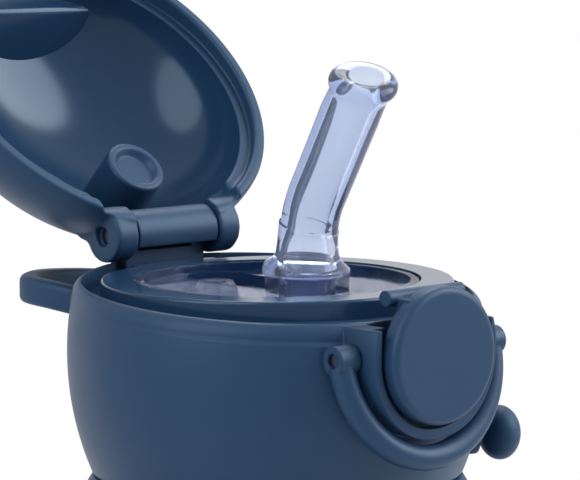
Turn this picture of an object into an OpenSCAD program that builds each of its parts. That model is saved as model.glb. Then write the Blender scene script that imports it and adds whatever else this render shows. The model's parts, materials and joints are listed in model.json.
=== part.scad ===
/* [Folding body] */
// Outer radius of the base cup
base_r = 32; // [28:0.5:36]
// Height of the base cup
base_h = 44; // [34:1:60]
// Thickness of the cup floor
floor_t = 4; // [2:0.5:6]
// Radius of the rounded foot corner
foot_round = 5; // [2:0.5:8]
// Wall of the soft bands
wall = 2.6; // [1.6:0.1:3.2]
// Radial room between nested bands
nest_gap = 1.2; // [0.8:0.1:2]
// Height of the middle band
band_h = 28; // [20:1:40]
// Height of the straight part of the upper shell
shell_h = 22; // [16:1:34]
// Height of the sloping shoulder
shoulder_h = 11; // [8:0.5:16]
// Rise of each thin folding web
web_rise = 6; // [4:0.5:10]
// Thickness of the folding webs
web_t = 1.6; // [1:0.1:2.2]
// Bead that stiffens each band's edge
bead = 0.5; // [0.2:0.1:0.6]
// Height of that bead
bead_h = 3; // [2:0.5:5]

/* [Neck] */
// Room for the thread between the neck ring and the collar's skirt
thread_gap = 0.6; // [0.4:0.1:2]
// Wall of the neck ring
neck_wall = 3.2; // [2:0.1:4]
// Reach of the clamping flange
flange_w = 2.6; // [1.5:0.1:3]
// Thickness of that flange
flange_t = 2.5; // [1.5:0.1:4]
// Thickness of the neck gasket
gasket_t = 2; // [1:0.1:3]

/* [Collar] */
// Height of the collar
collar_h = 34; // [32:0.5:40]
// Wall of the collar at its widest place
collar_wall = 6.4; // [6:0.1:9]
// Radius of the barrel curve
belly_arc = 55; // [45:1:90]
// Drop of the widest point under the disc's top
belly_drop = 13; // [10:0.5:18]
// Inner radius of the skirt
skirt_r = 31; // [28:0.1:34]
// Radius of the lip's rounded edge
lip_round = 3; // [1.5:0.1:4]
// Drop of the lip under the disc's top
lip_drop = 1.3; // [0.5:0.1:2.4]
// Forward slope of the lip in degrees
lip_tilt = 3.4; // [0:0.1:5]
// Drop of the lid's seat under the disc's top
seat_drop = 3.4; // [3.3:0.1:4.5]
// Thickness of the deck that carries the disc
deck_t = 2.7; // [2:0.1:3.5]
// Gap between the drinking straw and its hole in the deck
deck_gap = 0.6; // [0.4:0.1:1.5]

/* [Spout disc] */
// Width of the step between the disc and the lid's outside
step_w = 2.9; // [2.7:0.1:3.5]
// Thickness of the ring and the clear disc
disc_t = 5.4; // [4.5:0.1:7]
// Width of the raised edge of the clear disc
disc_rim = 1.8; // [1.4:0.1:3]
// Width of the opaque ring round the clear pane
ring_w = 5.8; // [4.8:0.1:6.4]
// Depth of the bowl
bowl_d = 1.4; // [0.8:0.1:2]
// Depth of the clear disc's edge under the ring
pane_drop = 0.2; // [0:0.1:0.6]
// Width of the channel between spout and hinge
channel_w = 12; // [9.6:0.2:14]
// Depth of the channel under the disc's top
channel_d = 3.6; // [2.5:0.1:4]
// Distance of the channel's end from the pane's edge
channel_margin = 3.5; // [2.5:0.5:6.5]
// Distance of the vent from the channel's end
vent_back = 5; // [4:0.5:8]
// Radius of the vent's hole
vent_r = 1.9; // [1.5:0.1:2.5]
// Distance of the disc's seal inside its edge
seal_margin = 1.9; // [1.5:0.1:2.5]
// Width of that seal
seal_w = 2; // [1.4:0.1:2.4]

/* [Mouthpiece] */
// Distance of the spout in front of the axis
spout_y = 8; // [6:0.5:10]
// Radius of the mouthpiece's bore
spout_bore = 3.1; // [2.5:0.1:3.4]
// Radius of the upper tube
tube_r = 4.6; // [4.2:0.1:5.2]
// Radius of the lower neck
stem_r = 5.3; // [5:0.1:6]
// Radius of the foot flange
foot_r = 7.8; // [7:0.1:8.5]
// Radius of the lip at the tip
tip_r = 6; // [5.2:0.1:6.4]
// Radius of the socket's bore in the disc
socket_r = 5; // [4.6:0.1:5.2]
// Wall of the drinking straw
straw_wall = 1; // [0.6:0.1:1.4]
// Gap between the drinking straw and the cup floor
straw_gap = 4; // [2:0.5:10]

/* [Lid] */
// Width of the collar's lip outside the lid
lip_w = 3.1; // [3:0.1:3.8]
// Wall of the lid
lid_wall = 2.3; // [1.6:0.1:2.4]
// Width of the band inside the lid's rim
band_w = 4.5; // [3:0.1:5]
// Height of the lid over the disc's top
lid_rise = 22; // [20:0.5:26]
// Drop of the closed rim under the disc's top
rim_drop = 1.7; // [1.5:0.1:1.9]
// Slope of the lid's rim, down towards the front
rim_tilt = 2; // [0:0.1:2.2]
// Height over the disc's top where the dome starts to curve
dome_start = 1; // [0:0.5:4]
// Fullness of the dome's curve, 2 for an ellipse and more for a squarer dome
dome_power = 2; // [1.8:0.1:2.6]
// Angle of the open lid in degrees
open_deg = 136; // [90:1:138]
// Radius of the round boss inside the lid
boss_r = 5.8; // [4:0.1:6.5]
// Distance of that boss behind the axis
boss_y = 18; // [15:0.5:19]
// Height of the boss's end over the disc's top
boss_gap = 3; // [1:0.5:5]

/* [Hinge] */
// Distance of the hinge line inside the lid's outside
hinge_in = 2.4; // [1.9:0.1:2.7]
// Height of the hinge over the disc's top
hinge_rise = 5.5; // [5.3:0.1:6.5]
// Radius of the knuckles
knuckle_r = 4.4; // [3.8:0.1:4.6]
// Half width of the middle knuckle
knuckle_w = 9.2; // [8:0.1:10]
// Width of each ear
ear_w = 4.6; // [3:0.1:6]
// Radius of the lid's hinge ears
ear_r = 4.8; // [4.2:0.1:4.9]
// Radius of the hinge pin
pin_r = 1.5; // [1.2:0.1:1.8]
// Wire of the lid spring
lid_wire = 0.8; // [0.6:0.1:1]
// Curls of the lid spring
lid_curls = 6; // [3:1:8]

/* [Release button] */
// Radius of the button
button_r = 11.8; // [10:0.1:12.4]
// Thickness of the button's face
button_t = 3.2; // [2:0.1:4]
// Rounding of the button's edge
button_round = 1.2; // [0.6:0.1:1.5]
// Drop of the button's centre under the disc's top
button_drop = 9; // [8:0.1:10]
// Reach of the button's rear face past the collar's belly
button_reach = 3; // [2.6:0.1:4.1]
// Half width of the lever behind the face
lever_w = 9; // [7:0.1:10]
// Radius of the catch bar
catch_r = 1.4; // [1.2:0.1:1.6]
// Radius of the button's pin
button_pin_r = 1.2; // [0.9:0.05:1.3]
// Wire of the button's spring
button_wire = 0.5; // [0.4:0.1:0.6]
// Curls of the button's spring
button_curls = 4; // [3:1:5]
// Width of the gap between button and bezel
bezel_gap = 0.8; // [0.6:0.1:1.6]
// Width of the bezel's ridge
bezel_w = 1.9; // [1.2:0.1:2.4]

/* [Lock bail] */
// Radius of the bail's bow
bail_r = 17.1; // [16.8:0.1:19]
// Straight part of the bail's arms
bail_neck = 1.2; // [0.6:0.1:3]
// Radius of the bail's round section
bail_t = 2.2; // [1.6:0.1:2.2]
// Forward lean of the hanging bail in degrees
bail_lean = 12.7; // [11:0.1:20]
// Distance of the bail's pivot inside the collar's belly
bail_in = 1.4; // [0.9:0.1:1.9]
// Radius of the bail's end barrels
barrel_r = 2.5; // [2:0.1:2.6]
// Radius of the bail's pins
bail_pin_r = 1.25; // [1:0.05:1.4]

/* [Carry strap] */
// Thickness of the strap
strap_t = 3.6; // [2.5:0.1:4.4]
// Height of the strap
strap_h = 5; // [4:0.1:5.4]
// Radius of the ball on the strap's stud
ball_r = 5; // [4:0.1:5.5]
// Half height of the ball along the stud
ball_h = 3.8; // [3:0.1:5]
// Radius of the stud's stem
stud_r = 1.8; // [1.2:0.1:2]

/* [Fits] */
// Clearance between pieces that move past each other
clear = 0.5; // [0.3:0.05:0.6]
// Clearance between seated pieces
seat = 0.1; // [0.05:0.05:0.2]
// Radial clearance of pins that turn
run = 0.05; // [0.02:0.01:0.1]

/* [Hidden] */
$fn = 96;

// Colours as the photograph shows them
navy = "#3c5878";
soft_navy = "#34506f";
clear_tint = [0.86, 0.87, 0.92, 0.45];
silicone_tint = [0.93, 0.93, 0.95, 0.55];
steel = "#b8bcc2";
rubber = "#d9dde2";

// Radii of the cap, from the skirt out to the belly and back in to the pane
neck_r = skirt_r - thread_gap;
belly_r = skirt_r + collar_wall;
lid_r = belly_r - lip_w;
disc_r = lid_r - step_w;
ring_in = disc_r - ring_w;
seal_r = disc_r - seal_margin;

// Radii of the nested bands, from the base outwards
band_r = base_r + nest_gap + wall;
shell_r = band_r + nest_gap + wall;

// Levels from the floor up
band_z = base_h + web_rise;
shell_z = band_z + band_h + web_rise;
shoulder_z = shell_z + shell_h;
shell_top = shoulder_z + shoulder_h;
collar_z = shell_top + 2 * clear;
top = collar_z + collar_h;
deck_z = top - disc_t - seat;
deck_under = deck_z - deck_t;
neck_top = deck_under - seat - gasket_t;
seat_z = top - seat_drop;
rim_z = top - rim_drop - lid_r * tan(rim_tilt);
lip_z = top - lip_drop;
belly_z = top - belly_drop;

// Hinge line, lid seat and disc pocket
hinge_y = lid_r - hinge_in;
hinge_z = top + hinge_rise;
seat_r = lid_r + clear;
pocket_r = disc_r + seat;
pane_r = ring_in - seat;
channel_end = pane_r - channel_margin;
vent_y = channel_end - vent_back;
rim_in = lid_r - lid_wall;
ear_x = knuckle_w + clear;

// Neck flange and the shell's inner ledge
flange_r = neck_r + flange_w;
flange_z = shoulder_z;
ledge_z = flange_z + flange_t + 2 * seat;
neck_in = neck_r - neck_wall;

// Button, bezel and pad
button_y = belly_r + button_reach;
button_z = top - button_drop;
bezel_in = button_r + bezel_gap;
bezel_r = bezel_in + bezel_w;
pad_y = button_y - 1.8;
ridge_y = button_y + 0.8;
bay_y = skirt_r + 2.9;
bay_z = top - 16;
rock_y = pad_y - 2;
rock_z = top - 12.6;
catch_y = rock_y + 1;
catch_z = top + 0.9;
tongue_y = catch_y - 0.2;
tongue_z = catch_z - catch_r - 0.4;
spring_z = top - 18.4;
spring_seat = skirt_r + 3.3;

// Inside of the drinking straw, pushed over the disc's nozzle
nozzle_r = spout_bore + 1.3;
straw_in = nozzle_r + seat / 2;

// Bail pivot
bail_y = belly_r - bail_in;
bail_z = top - button_drop + 0.2;
barrel_x = bezel_r + 0.3;
barrel_w = 4.2;

// Strap route from the socket at the back round the far side to the stud: x, y and drop under the disc's top
strap_route = [[-17.4, 32.8, -6.6], [-20.5, 38.5, -5.4], [-20, 47, -5], [-10, 54, -5.4], [8, 56, -7.4],
    [26, 50, -11], [39, 36, -16], [44.5, 18, -22], [41.5, 1, -27], [35.7, -11.2, -29.9]];
// Largest radius of the collar that this route is drawn round
route_r = 37.4;
stud_angle = 65;
stud_drop = 30;
tab_t = 1.6;
strap_face = belly_r - 1.8;
socket_angle = 208;
socket_drop = 6.6;

// Route of the mouthpiece: distance in front of the axis, height over the disc's top and radius
spout_route = [[spout_y - 0.2, 1.6, foot_r], [spout_y - 0.1, 2.8, foot_r - 0.2], [spout_y, 4, stem_r + 1],
    [spout_y + 0.1, 5.6, stem_r], [spout_y + 0.5, 9.6, stem_r - 0.1], [spout_y + 1.4, 12.6, tube_r],
    [spout_y + 2.9, 15.8, tube_r], [spout_y + 4.8, 19, tube_r], [spout_y + 6.8, 22.4, tube_r],
    [spout_y + 9, 26.2, tube_r], [spout_y + 11.2, 30, tube_r], [spout_y + 13.4, 33.6, tube_r],
    [spout_y + 14.1, 34.8, tip_r - 0.6], [spout_y + 14.5, 35.5, tip_r], [spout_y + 15.2, 36.7, tip_r - 0.2],
    [spout_y + 15.5, 37.2, tip_r - 0.9]];

// Sweep helpers: unit vector, tangents along a route and a ring of points on a plane
function unit(v) = v / norm(v);
function tangent(p, i) = unit(p[min(i + 1, len(p) - 1)] - p[max(i - 1, 0)]);
function ring(c, a, b, shape) = [for (s = shape) c + a * s[0] + b * s[1]];
function flat(rows) = [for (row = rows) each row];
function spline(p, n) = [for (i = [0:len(p) - 2], k = [0:n - 1])
    let (a = p[max(i - 1, 0)], b = p[i], c = p[i + 1], d = p[min(i + 2, len(p) - 1)], t = k / n)
    b + (c - a) * t / 2 + (a * 2 - b * 5 + c * 4 - d) * t * t / 2 + (b * 3 - a - c * 3 + d) * t * t * t / 2,
    p[len(p) - 1]];

// Closed skin through equal rings, with flat triangle fans as ends
module skin(rings) {
    n = len(rings[0]);
    m = len(rings);
    sides = [for (i = [0:m - 2], k = [0:n - 1]) let (a = i * n + k, b = i * n + (k + 1) % n)
        each [[a, b + n, b], [a, a + n, b + n]]];
    ends = [for (k = [1:n - 2]) each [[0, k, k + 1], [(m - 1) * n, (m - 1) * n + k + 1, (m - 1) * n + k]]];
    polyhedron(flat(rings), concat(sides, ends), convexity = 6);
}

// Ring shapes
function round_shape(r, n) = [for (k = [0:n - 1]) [r * cos(360 * k / n), r * sin(360 * k / n)]];
function band_shape(t, h, c) = [[t / 2, c - h / 2], [t / 2, h / 2 - c], [t / 2 - c, h / 2], [c - t / 2, h / 2],
    [-t / 2, h / 2 - c], [-t / 2, c - h / 2], [c - t / 2, -h / 2], [t / 2 - c, -h / 2]];

// Helical wire round the X axis: coil radius, wire radius, curls and length, centred on the origin
function coil_point(r, len, curls, t) = [len * (t - 0.5), r * cos(360 * curls * t), r * sin(360 * curls * t)];
module coil(r, wire, curls, len) {
    steps = 8 * curls;
    pts = [for (i = [0:steps]) coil_point(r, len, curls, i / steps)];
    gap = len / curls - 2 * wire;
    echo(coil_least_gap = gap);
    skin([for (i = [0:steps]) let (t = tangent(pts, i), out = unit([0, pts[i][1], pts[i][2]]))
        ring(pts[i], out, cross(t, out), round_shape(wire, 6))]);
}

// Ring with a rectangular section
module hoop(r_out, r_in, h) {
    rotate_extrude() translate([r_in, 0]) square([r_out - r_in, h]);
}

// Pin along X, centred on the origin
module x_pin(r, len) {
    rotate([0, 90, 0]) cylinder(r = r, h = len, center = true);
}

// Soft band with a bead round one edge
module soft_band(r, z, h, bead_z) {
    translate([0, 0, z]) hoop(r, r - wall, h);
    translate([0, 0, bead_z]) hoop(r + bead, r - wall / 2, bead_h);
}

// Thin sloping web between two band edges
module web(r_low, r_high, z) {
    rotate_extrude() polygon([[r_low - web_t - seat, z], [r_low - seat, z], [r_high - seat, z + web_rise - 2 * seat],
        [r_high - web_t - seat, z + web_rise - 2 * seat]]);
}

module base_cup() {
    color(soft_navy) difference() {
        union() {
            rotate_extrude() {
                translate([0, foot_round]) square([base_r, base_h - foot_round]);
                square([base_r - foot_round, base_h]);
                translate([base_r - foot_round, foot_round]) circle(foot_round);
            }
            translate([0, 0, base_h - bead_h]) hoop(base_r + bead, base_r - wall / 2, bead_h);
        }
        translate([0, 0, floor_t]) cylinder(r = base_r - wall, h = base_h);
    }
}

module lower_web() {
    color(soft_navy) web(base_r, band_r, base_h);
}

module middle_band() {
    color(soft_navy) soft_band(band_r, band_z, band_h, band_z + band_h - bead_h);
}

module upper_web() {
    color(soft_navy) web(band_r, shell_r, band_z + band_h);
}

module upper_shell() {
    collar_fit = neck_r + seat;
    shoulder_r = skirt_r + 2;
    color(soft_navy) rotate_extrude() polygon([[shell_r, shell_z], [shell_r, shoulder_z], [shoulder_r, shell_top],
        [collar_fit, shell_top], [collar_fit, ledge_z], [flange_r + 3 * seat, ledge_z],
        [shell_r - wall, shoulder_z - 2], [shell_r - wall, shell_z]]);
}

module neck_ring() {
    color("#e6e9ee") {
        translate([0, 0, flange_z]) hoop(neck_r, neck_in, neck_top - flange_z);
        translate([0, 0, flange_z]) hoop(flange_r, neck_in, flange_t);
    }
}

module neck_gasket() {
    color(rubber) translate([0, 0, neck_top + seat / 2]) hoop(neck_r - seat, neck_in - 1, gasket_t);
}

// Outside of the collar: a barrel whose top edge slopes down to the front
module collar_barrel() {
    edge = belly_r - 0.8 - lip_round;
    intersection() {
        rotate_extrude() intersection() {
            translate([belly_r - belly_arc, belly_z]) circle(belly_arc, $fn = 360);
            translate([0, collar_z]) square([belly_r + 1, collar_h + 6]);
        }
        translate([0, 0, lip_z]) rotate([lip_tilt, 0, 0]) rotate_extrude() {
            translate([edge, -lip_round]) circle(lip_round);
            translate([0, -lip_round]) square([edge, lip_round]);
            polygon([[0, -lip_round], [edge + lip_round, -lip_round], [belly_r + 4, -2.5 * lip_round],
                [belly_r + 4, -2 * collar_h], [0, -2 * collar_h]]);
        }
    }
}

// Raised pad that carries the button, with a U-shaped ridge round it
module bezel_outline(r) {
    arm = button_drop - seat_drop - 0.4;
    translate([-r, 0]) square([2 * r, arm]);
    difference() {
        circle(r);
        translate([-2 * r, arm / 2]) square([4 * r, 2 * r]);
    }
}
// Room that stays free inside the bail over its whole swing
module bail_reach(r) {
    translate([0, -bail_y, bail_z]) rotate([0, 90, 0]) rotate_extrude() {
        translate([0, -r]) square([bail_neck, 2 * r]);
        translate([bail_neck, 0]) intersection() {
            circle(r);
            translate([0, -r]) square([r, 2 * r]);
        }
    }
}
module button_pad() {
    intersection() {
        translate([0, 0, button_z]) rotate([90, 0, 0]) {
            translate([0, 0, skirt_r + 1]) linear_extrude(pad_y - skirt_r - 1) bezel_outline(bezel_r);
            translate([0, 0, pad_y - 1]) linear_extrude(ridge_y - pad_y + 1) difference() {
                bezel_outline(bezel_r);
                circle(bezel_in);
                translate([-bezel_in, 0]) square([2 * bezel_in, 2 * bezel_in]);
            }
        }
        bail_reach(bail_r - bail_t - 0.4);
    }
}

module strap_boss() {
    translate([0, 0, top - socket_drop]) rotate([0, 0, socket_angle - 90]) rotate([0, 90, 0])
        cylinder(r = strap_h / 2 + 1.8, h = belly_r + 1.4);
}

module collar() {
    color(navy) difference() {
        union() {
            collar_barrel();
            button_pad();
            strap_boss();
            translate([0, hinge_y, hinge_z]) x_pin(knuckle_r, 2 * knuckle_w);
            translate([-knuckle_w, hinge_y - seat, deck_under])
                cube([2 * knuckle_w, knuckle_r + seat, hinge_z - deck_under]);
        }
        difference() {
            translate([0, 0, seat_z]) cylinder(r = seat_r, h = 2 * seat_drop);
            translate([-knuckle_w, hinge_y - seat, seat_z - 1]) cube([2 * knuckle_w, 2 * knuckle_r, 4 * seat_drop]);
        }
        translate([0, 0, deck_z]) cylinder(r = pocket_r, h = seat_drop + disc_t);
        translate([0, 0, deck_z - 1.4]) hoop(seal_r, seal_r - seal_w, 3);
        translate([0, -spout_y, collar_z - 1]) cylinder(r = straw_in + straw_wall + deck_gap, h = 2 * collar_h);
        translate([0, vent_y, collar_z - 1]) cylinder(r = vent_r + deck_gap, h = 2 * collar_h);
        translate([0, 0, collar_z - 1]) cylinder(r = skirt_r, h = deck_under - collar_z + 1);
        translate([0, hinge_y, hinge_z]) x_pin(pin_r, 2 * knuckle_w + 2);
        translate([0, hinge_y, hinge_z]) x_pin(knuckle_r - 1.2, 2 * knuckle_w - 6);
        translate([-lever_w - clear, -2 * bay_y, bay_z]) cube([2 * (lever_w + clear), bay_y, 30]);
        translate([0, -rock_y, rock_z]) x_pin(button_pin_r, 2 * (lever_w + 4));
        translate([0, -spring_seat, spring_z]) rotate([90, 0, 0]) cylinder(r = 2.8, h = 10);
        for (side = [-1, 1]) {
            translate([side * (barrel_x + 5), -bail_y, bail_z]) x_pin(bail_pin_r, 20);
            translate([side * (barrel_x + 4.7), -bail_y, bail_z]) x_pin(barrel_r + 0.4, 10);
        }
        translate([0, 0, top - socket_drop]) rotate([0, 0, socket_angle - 90]) rotate([0, 90, 0])
            translate([0, 0, skirt_r + 3]) cylinder(r = strap_h / 2 + seat, h = 20);
        translate([0, 0, top - stud_drop]) rotate([0, 0, stud_angle - 90]) rotate([0, 90, 0])
            cylinder(r = stud_r, h = 60);
    }
}

// Path of the closed rim's inner edge round the hinge, as a radius for each distance from the middle
function rim_sweep(x) = let (y = sqrt(rim_in * rim_in - x * x))
    norm([hinge_y - y, hinge_rise + rim_drop - y * tan(rim_tilt)]) + clear;

module hinge_scoop() {
    reach = [for (x = [knuckle_w + 0.2, 12, 15, 18, 21, 24]) [rim_sweep(x), x]];
    translate([0, hinge_y, hinge_z]) for (side = [-1, 1])
        rotate([0, side * 90, 0]) rotate_extrude()
            polygon(concat([[0, knuckle_w + 0.2]], reach, [[0, 24]]));
}

// Half section of a flat round piece with its upper edge rounded
module rounded_plate(r, h) {
    square([r, h - 0.6]);
    square([r - 0.6, h]);
    translate([r - 0.6, h - 0.6]) circle(0.6);
}

module disc_ring() {
    color(navy) difference() {
        translate([0, 0, top - disc_t]) rotate_extrude() rounded_plate(disc_r, disc_t);
        translate([0, 0, top - 2 * disc_t]) cylinder(r = ring_in, h = 4 * disc_t);
        hinge_scoop();
    }
}

module spout_disc() {
    floor_z = top - bowl_d;
    color(clear_tint) difference() {
        union() {
            difference() {
                translate([0, 0, top - disc_t]) rotate_extrude() rounded_plate(pane_r, disc_t - pane_drop);
                translate([0, 0, floor_z]) cylinder(r = pane_r - disc_rim, h = 2 * bowl_d);
                translate([0, 0, top - channel_d]) linear_extrude(2 * channel_d) {
                    translate([0, channel_end - channel_w / 2]) circle(d = channel_w);
                    translate([-channel_w / 2, -spout_y]) square([channel_w, spout_y + channel_end - channel_w / 2]);
                }
            }
            translate([0, -spout_y, top - disc_t]) cylinder(r = foot_r - 0.3, h = disc_t + 1.4);
            translate([0, -spout_y, top - disc_t - 9]) cylinder(r = nozzle_r, h = 10);
        }
        translate([0, -spout_y, top - disc_t + 1.6]) cylinder(r = socket_r, h = 2 * disc_t);
        translate([0, -spout_y, top - 2 * disc_t - 9]) cylinder(r = spout_bore, h = 40);
        translate([0, vent_y, top - 2 * disc_t]) cylinder(r = vent_r + seat, h = 2 * disc_t);
    }
}

module disc_seal() {
    color(rubber) translate([0, 0, deck_z - 1.4 + seat / 2]) hoop(seal_r - seat, seal_r - seal_w + seat, 1.4);
}

// Soft curved spout: a bored tube that leans towards the drinker, plugged into the disc
module mouthpiece() {
    n = 20;
    pts = [for (p = spout_route) [0, -p[0], top + p[1]]];
    last = len(pts) - 1;
    bore = concat([[0, -spout_y, top - 2 * disc_t]], [for (i = [0:last - 1]) pts[i]],
        [pts[last] + tangent(pts, last) * 2]);
    color(silicone_tint) difference() {
        union() {
            skin([for (i = [0:last]) let (t = tangent(pts, i))
                ring(pts[i], [1, 0, 0], cross(t, [1, 0, 0]), round_shape(spout_route[i][2], n))]);
            translate([0, -spout_y, top - disc_t + 1.6 + seat]) cylinder(r = socket_r - seat, h = disc_t + 1.4);
        }
        skin([for (i = [0:last + 1]) let (t = tangent(bore, i))
            ring(bore[i], [1, 0, 0], cross(t, [1, 0, 0]), round_shape(spout_bore, n))]);
    }
}

module straw_tube() {
    low = floor_t + straw_gap;
    color(silicone_tint) translate([0, -spout_y, low])
        hoop(straw_in + straw_wall, straw_in, top - disc_t - 1 - low);
}

module vent_valve() {
    cap_z = top - channel_d + seat;
    color(silicone_tint) translate([0, vent_y, cap_z]) {
        cylinder(r1 = vent_r + 2, r2 = vent_r + 1.2, h = 1.2);
        translate([0, 0, -channel_d - 1.5]) cylinder(r = vent_r, h = channel_d + 2);
    }
}

module hinge_pin() {
    color(steel) translate([0, hinge_y, hinge_z]) x_pin(pin_r, 2 * (ear_x + ear_w) - 2);
}

module lid_spring() {
    color(steel) translate([0, hinge_y, hinge_z]) coil(pin_r + lid_wire / 2 + 0.3, lid_wire / 2, lid_curls,
        2 * knuckle_w - 8);
}

// Turns what is modelled closed to the open rest position
module opened() {
    translate([0, hinge_y, hinge_z]) rotate([-open_deg, 0, 0]) translate([0, -hinge_y, -hinge_z]) children();
}

// Half section of the dome: a straight rim under a superellipse
module dome_profile(r, rise, low) {
    steps = 18;
    curve = [for (i = [0:steps - 1]) let (t = 90 * i / steps)
        [r * pow(cos(t), 2 / dome_power), top + dome_start + (rise - dome_start) * pow(sin(t), 2 / dome_power)]];
    polygon(concat([[0, low], [r, low]], curve, [[0, top + rise]]));
}

// Flat wall inside the front of the lid
module front_wall() {
    translate([-20, 0, top]) rotate([90, 0, 90]) linear_extrude(40)
        polygon([[-24.8, 6], [-15.2, 24], [-40, 24], [-40, 6]]);
}

module lid_inside() {
    translate([0, boss_y, top + boss_gap]) difference() {
        cylinder(r = boss_r, h = lid_rise - boss_gap - 1);
        translate([0, 0, -0.1]) cylinder(r1 = boss_r - 1.2, r2 = boss_r - 2.4, h = 1.3);
    }
    front_wall();
}

// Opening in the wall round the knuckle and its support, over the whole swing of the lid
module hinge_notch() {
    n = knuckle_r + 0.3;
    turn = 180 - open_deg;
    translate([-ear_x, hinge_y, hinge_z]) rotate([90, 0, 90]) linear_extrude(2 * ear_x)
        polygon(concat([[40, -30], [-n, -30]], [for (a = [0:turn / 4:turn]) n * [-cos(a), sin(a)]],
            [n * [-cos(turn), sin(turn)] + 40 * [sin(turn), cos(turn)]]));
}

module flip_lid() {
    inner = lid_r - lid_wall;
    color(navy) opened() difference() {
        union() {
            difference() {
                rotate_extrude() dome_profile(lid_r, lid_rise, rim_z);
                translate([0, 0, rim_z - 2]) cylinder(r = inner, h = top - rim_z + 2.8);
                difference() {
                    rotate_extrude() dome_profile(lid_r - band_w, lid_rise - lid_wall, rim_z - 2);
                    lid_inside();
                }
                translate([-50, 0, top - rim_drop]) rotate([rim_tilt, 0, 0]) translate([0, -50, -20]) cube([100, 100, 20]);
            }
            for (side = [-1, 1]) {
                translate([side * (ear_x + ear_w / 2), hinge_y, hinge_z]) x_pin(ear_r, ear_w);
                translate([side * (ear_x + ear_w / 2) - ear_w / 2, hinge_y - ear_r, hinge_z - ear_r])
                    cube([ear_w, ear_r, 2 * ear_r]);
            }
            translate([-7.5, -tongue_y, tongue_z - 1.7]) cube([15, tongue_y - inner - 0.5, 1.7]);
            translate([-7.5, 1 - lid_r - 2.6, top + 4.4]) cube([15, 2.6, 2]);
        }
        hinge_notch();
        translate([0, hinge_y, hinge_z]) x_pin(pin_r + run, 60);
    }
}

module release_button() {
    rear = rock_y - 1.2;
    color(navy) difference() {
        union() {
            translate([0, -button_y, button_z]) rotate([90, 0, 0]) rotate_extrude() {
                square([button_r - button_round, button_t]);
                square([button_r, button_t - button_round]);
                translate([button_r - button_round, button_t - button_round]) circle(button_round);
            }
            translate([2 - lever_w, -button_y - 1, bay_z + 0.8])
                cube([2 * lever_w - 4, button_y - catch_y + 0.4, catch_z - bay_z - 0.8]);
            translate([-lever_w, -button_y - 1, bay_z + 0.8]) cube([2 * lever_w, button_y + 1 - rear, 9.2]);
            translate([0, -catch_y, catch_z]) x_pin(catch_r, 2 * lever_w - 0.6);
        }
        translate([0, -rock_y, rock_z]) x_pin(button_pin_r + run, 60);
    }
}

module button_pin() {
    color(steel) translate([0, -rock_y, rock_z]) x_pin(button_pin_r, 2 * (lever_w + 3.8));
}

module button_spring() {
    len = button_y - spring_seat - 2 * button_wire;
    color(steel) translate([0, -(button_y + spring_seat) / 2, spring_z]) rotate([0, 0, 90])
        coil(2.1, button_wire / 2, button_curls, len);
}

module lock_bail() {
    color(navy) difference() {
        union() {
            translate([0, -bail_y, bail_z]) rotate([90 - bail_lean, 0, 0]) {
                translate([0, -bail_neck, 0]) rotate([0, 0, 180])
                    rotate_extrude(angle = 180) translate([bail_r, 0]) circle(bail_t);
                for (side = [-1, 1])
                    translate([side * bail_r, 0, 0]) rotate([90, 0, 0]) cylinder(r = bail_t, h = bail_neck);
            }
            for (side = [-1, 1])
                translate([side * (barrel_x + barrel_w / 2), -bail_y, bail_z]) x_pin(barrel_r, barrel_w);
        }
        translate([0, -bail_y, bail_z]) x_pin(bail_pin_r + run, 60);
    }
}

module bail_pins() {
    color(steel) for (side = [-1, 1])
        translate([side * (barrel_x - 0.2), -bail_y, bail_z]) x_pin(bail_pin_r, 7.6);
}

module carry_strap() {
    beside = [for (p = strap_route) p + unit([p[0], p[1], 0]) * (belly_r - route_r)];
    pts = [for (p = spline(beside, 4)) [p[0], p[1], top + p[2]]];
    color(soft_navy) difference() {
        union() {
            skin([for (i = [0:len(pts) - 1]) let (t = tangent(pts, i), side = unit(cross(t, [0, 0, 1])))
                ring(pts[i], side, cross(t, side), band_shape(strap_t, strap_h, 0.8))]);
            translate([0, 0, top - stud_drop]) rotate([0, 0, stud_angle - 90]) rotate([0, 90, 0])
                translate([0, 0, strap_face + 0.2]) {
                    cylinder(r = strap_h / 2 + 1.2, h = tab_t);
                    translate([-strap_h / 2, 0, 0]) cube([strap_h, 6.5, tab_t]);
                }
        }
        translate([0, 0, top - stud_drop]) rotate([0, 0, stud_angle - 90]) rotate([0, 90, 0])
            cylinder(r = stud_r + seat, h = 60);
    }
}

module strap_stud() {
    color(soft_navy) translate([0, 0, top - stud_drop]) rotate([0, 0, stud_angle - 90]) rotate([0, 90, 0]) {
        translate([0, 0, skirt_r + 0.6]) cylinder(r = stud_r, h = 13);
        translate([0, 0, strap_face + 2.6 + ball_h]) rotate_extrude()
            polygon([for (a = [-90:6:90]) [ball_r * cos(a), ball_h * sin(a)]]);
    }
}

base_cup();
lower_web();
middle_band();
upper_web();
upper_shell();
neck_ring();
neck_gasket();
collar();
disc_ring();
spout_disc();
disc_seal();
mouthpiece();
straw_tube();
vent_valve();
hinge_pin();
lid_spring();
flip_lid();
release_button();
button_pin();
button_spring();
lock_bail();
bail_pins();
carry_strap();
strap_stud();
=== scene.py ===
"""Folding water bottle with a flip lid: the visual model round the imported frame."""

import json
import math

import bpy
from mathutils import Matrix, Vector


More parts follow.
